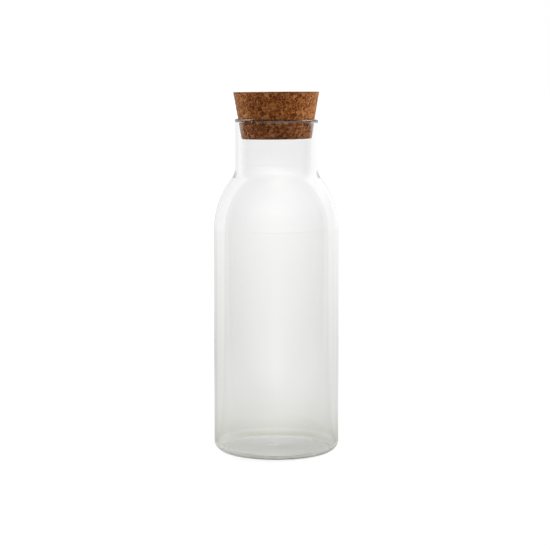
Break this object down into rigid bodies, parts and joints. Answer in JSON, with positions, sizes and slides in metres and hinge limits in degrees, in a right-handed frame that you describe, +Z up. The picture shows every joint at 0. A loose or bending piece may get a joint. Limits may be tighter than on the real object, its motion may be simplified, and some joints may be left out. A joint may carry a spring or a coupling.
{
  "type": "glass jar with cork stopper",
  "caption": "Clear glass jar with a straight body, rounded shoulder and short wide neck, closed by a tapered cork stopper that lifts out.",
  "frame": {"origin": "centre of the base, at the surface that the jar stands on", "axes": "+Z up along the jar's axis, from the base to the cork; the jar is round, so +X and +Y are any two level directions"},
  "size_m": [0.089, 0.089, 0.2555],
  "materials": {
    "clear_glass": "clear, fire-polished, faintly grey-green where it is thick",
    "cork": "matt pressed cork granules, warm brown with darker flecks and small pits"
  },
  "bodies": {
    "jar": {"glass_jar": "clear_glass"},
    "stopper": {"cork_stopper": "cork"}
  },
  "joints": [
    {"name": "cork_lift", "type": "slide", "parent": "jar", "child": "stopper", "axis": [0, 0, 1], "range_m": [0, 0.08]}
  ]
}
